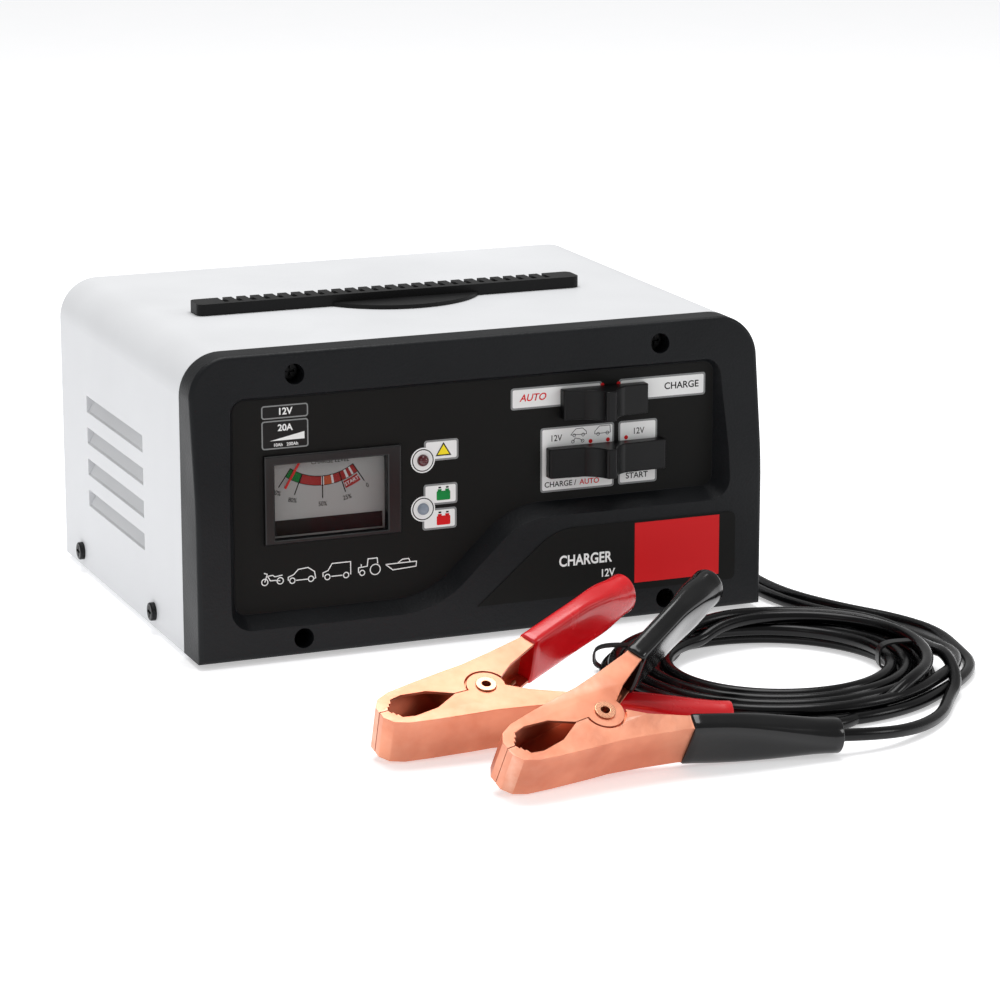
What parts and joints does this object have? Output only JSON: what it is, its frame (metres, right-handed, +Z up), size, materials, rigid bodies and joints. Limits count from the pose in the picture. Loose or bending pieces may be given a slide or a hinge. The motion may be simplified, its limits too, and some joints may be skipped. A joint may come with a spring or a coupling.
{
  "type": "car battery charger",
  "caption": "Steel-cased car battery charger with moulded control front, pointer meter, slide switches, pull-up handle and two coiled leads with spring clamps.",
  "frame": {"origin": "centre of the charger's footprint on the floor, measured without the leads and clamps", "axes": "-Y is the way the controls face, +X is to the right seen from the front, +Z is up"},
  "size_m": [0.3013, 0.4938, 0.131],
  "materials": {
    "cover_paint": "fine-textured white powder coat",
    "chassis_steel": "grey powder coat",
    "bezel_plastic": "fine grained moulding",
    "label_film": "printed polyester film",
    "black_screw": "blackened pan-head screws",
    "foot_rubber": "matt",
    "handle_plastic": "moulded, ribbed",
    "clip_steel": "plain zinc plated",
    "knob_plastic": "satin moulding",
    "switch_plastic": "moulded",
    "meter_plastic": "moulded",
    "meter_glass": "clear window",
    "dial_print": "printed card",
    "needle_red": "painted",
    "lamp_red": "tinted lens",
    "lamp_clear": "diffused lens",
    "board_green": "solder resist",
    "component_black": "moulded",
    "core_steel": "varnished laminations",
    "winding_copper": "enamelled copper wire",
    "sink_aluminium": "extruded",
    "gland_rubber": "moulded",
    "lead_pvc": "glossy soft PVC",
    "tie_plastic": "twist tie",
    "clamp_copper": "copper-plated steel, satin",
    "rivet_copper": "copper-plated",
    "spring_steel": "copper-flashed wire",
    "sleeve_red": "glossy dipped vinyl",
    "sleeve_black": "glossy dipped vinyl"
  },
  "bodies": {
    "case": {"top_cover": "cover_paint", "base_chassis": "chassis_steel", "rear_panel": "chassis_steel", "front_bezel": "bezel_plastic", "control_label": "label_film", "name_label": "label_film", "cover_screws": "black_screw", "bezel_screws": "black_screw", "rear_panel_screws": "black_screw", "rubber_feet": "foot_rubber", "mode_switch_body": "switch_plastic", "range_switch_body": "switch_plastic", "meter_frame": "meter_plastic", "meter_lens": "meter_glass", "meter_housing": "meter_plastic", "meter_dial": "dial_print", "meter_movement": "clip_steel", "fault_lamp": "lamp_red", "status_lamp": "lamp_clear", "control_pcb": "board_green", "board_components": "component_black", "transformer_core": "core_steel", "transformer_bobbin": "switch_plastic", "primary_winding": "winding_copper", "secondary_winding": "winding_copper", "transformer_bracket": "clip_steel", "transformer_bolts": "clip_steel", "rectifier_heatsink": "sink_aluminium", "rectifier_bridge": "component_black", "thermal_cutout": "component_black", "fuse_holder": "switch_plastic", "fuse_strip": "clip_steel", "mains_terminal_block": "switch_plastic", "mains_cord_gland": "gland_rubber", "dc_lead_gland": "gland_rubber", "positive_lead": "lead_pvc", "negative_lead": "lead_pvc", "lead_coil": "lead_pvc", "lead_ties": "tie_plastic", "positive_lead_tail": "lead_pvc", "negative_lead_tail": "lead_pvc", "red_clamp_outer_half": "clamp_copper", "red_clamp_rivet": "rivet_copper", "red_clamp_spring": "spring_steel", "red_clamp_lead_sleeve": "sleeve_red", "black_clamp_inner_half": "clamp_copper", "black_clamp_rivet": "rivet_copper", "black_clamp_spring": "spring_steel", "black_clamp_lead_sleeve": "sleeve_black"},
    "handle": {"handle_grip": "handle_plastic", "handle_stop_clips": "clip_steel"},
    "mode_slider": {"mode_knob": "knob_plastic", "mode_switch_actuator": "switch_plastic"},
    "range_slider": {"range_knob": "knob_plastic", "range_switch_actuator": "switch_plastic"},
    "needle": {"meter_needle": "needle_red"},
    "red_upper_jaw": {"red_clamp_inner_half": "clamp_copper", "red_clamp_free_sleeve": "sleeve_red"},
    "black_upper_jaw": {"black_clamp_outer_half": "clamp_copper", "black_clamp_free_sleeve": "sleeve_black"}
  },
  "joints": [
    {"name": "handle_lift", "type": "slide", "parent": "case", "child": "handle", "axis": [0, 0, 1], "range_m": [0, 0.025]},
    {"name": "mode_slide", "type": "slide", "parent": "case", "child": "mode_slider", "axis": [1, 0, 0], "range_m": [0, 0.008]},
    {"name": "range_slide", "type": "slide", "parent": "case", "child": "range_slider", "axis": [1, 0, 0], "range_m": [-0.008, 0.008]},
    {"name": "needle_swing", "type": "hinge", "parent": "case", "child": "needle", "pos_m": [-0.067, -0.08735, 0.0963], "axis": [0, -1, 0], "range_deg": [-4, 64], "stiffness_Nm_per_rad": 0.0004},
    {"name": "red_jaw_open", "type": "hinge", "parent": "case", "child": "red_upper_jaw", "pos_m": [-0.056, -0.2347, 0.0162], "axis": [0.0376, 0.3905, -0.9198], "range_deg": [0, 30], "stiffness_Nm_per_rad": 0.8, "springref_deg": -20.05, "deforming": ["red_clamp_spring"]},
    {"name": "black_jaw_open", "type": "hinge", "parent": "case", "child": "black_upper_jaw", "pos_m": [-0.0301, -0.2832, 0.0181], "axis": [-0.033, 0.5392, -0.8415], "range_deg": [0, 30], "stiffness_Nm_per_rad": 0.8, "springref_deg": -20.05, "deforming": ["black_clamp_spring"]}
  ]
}
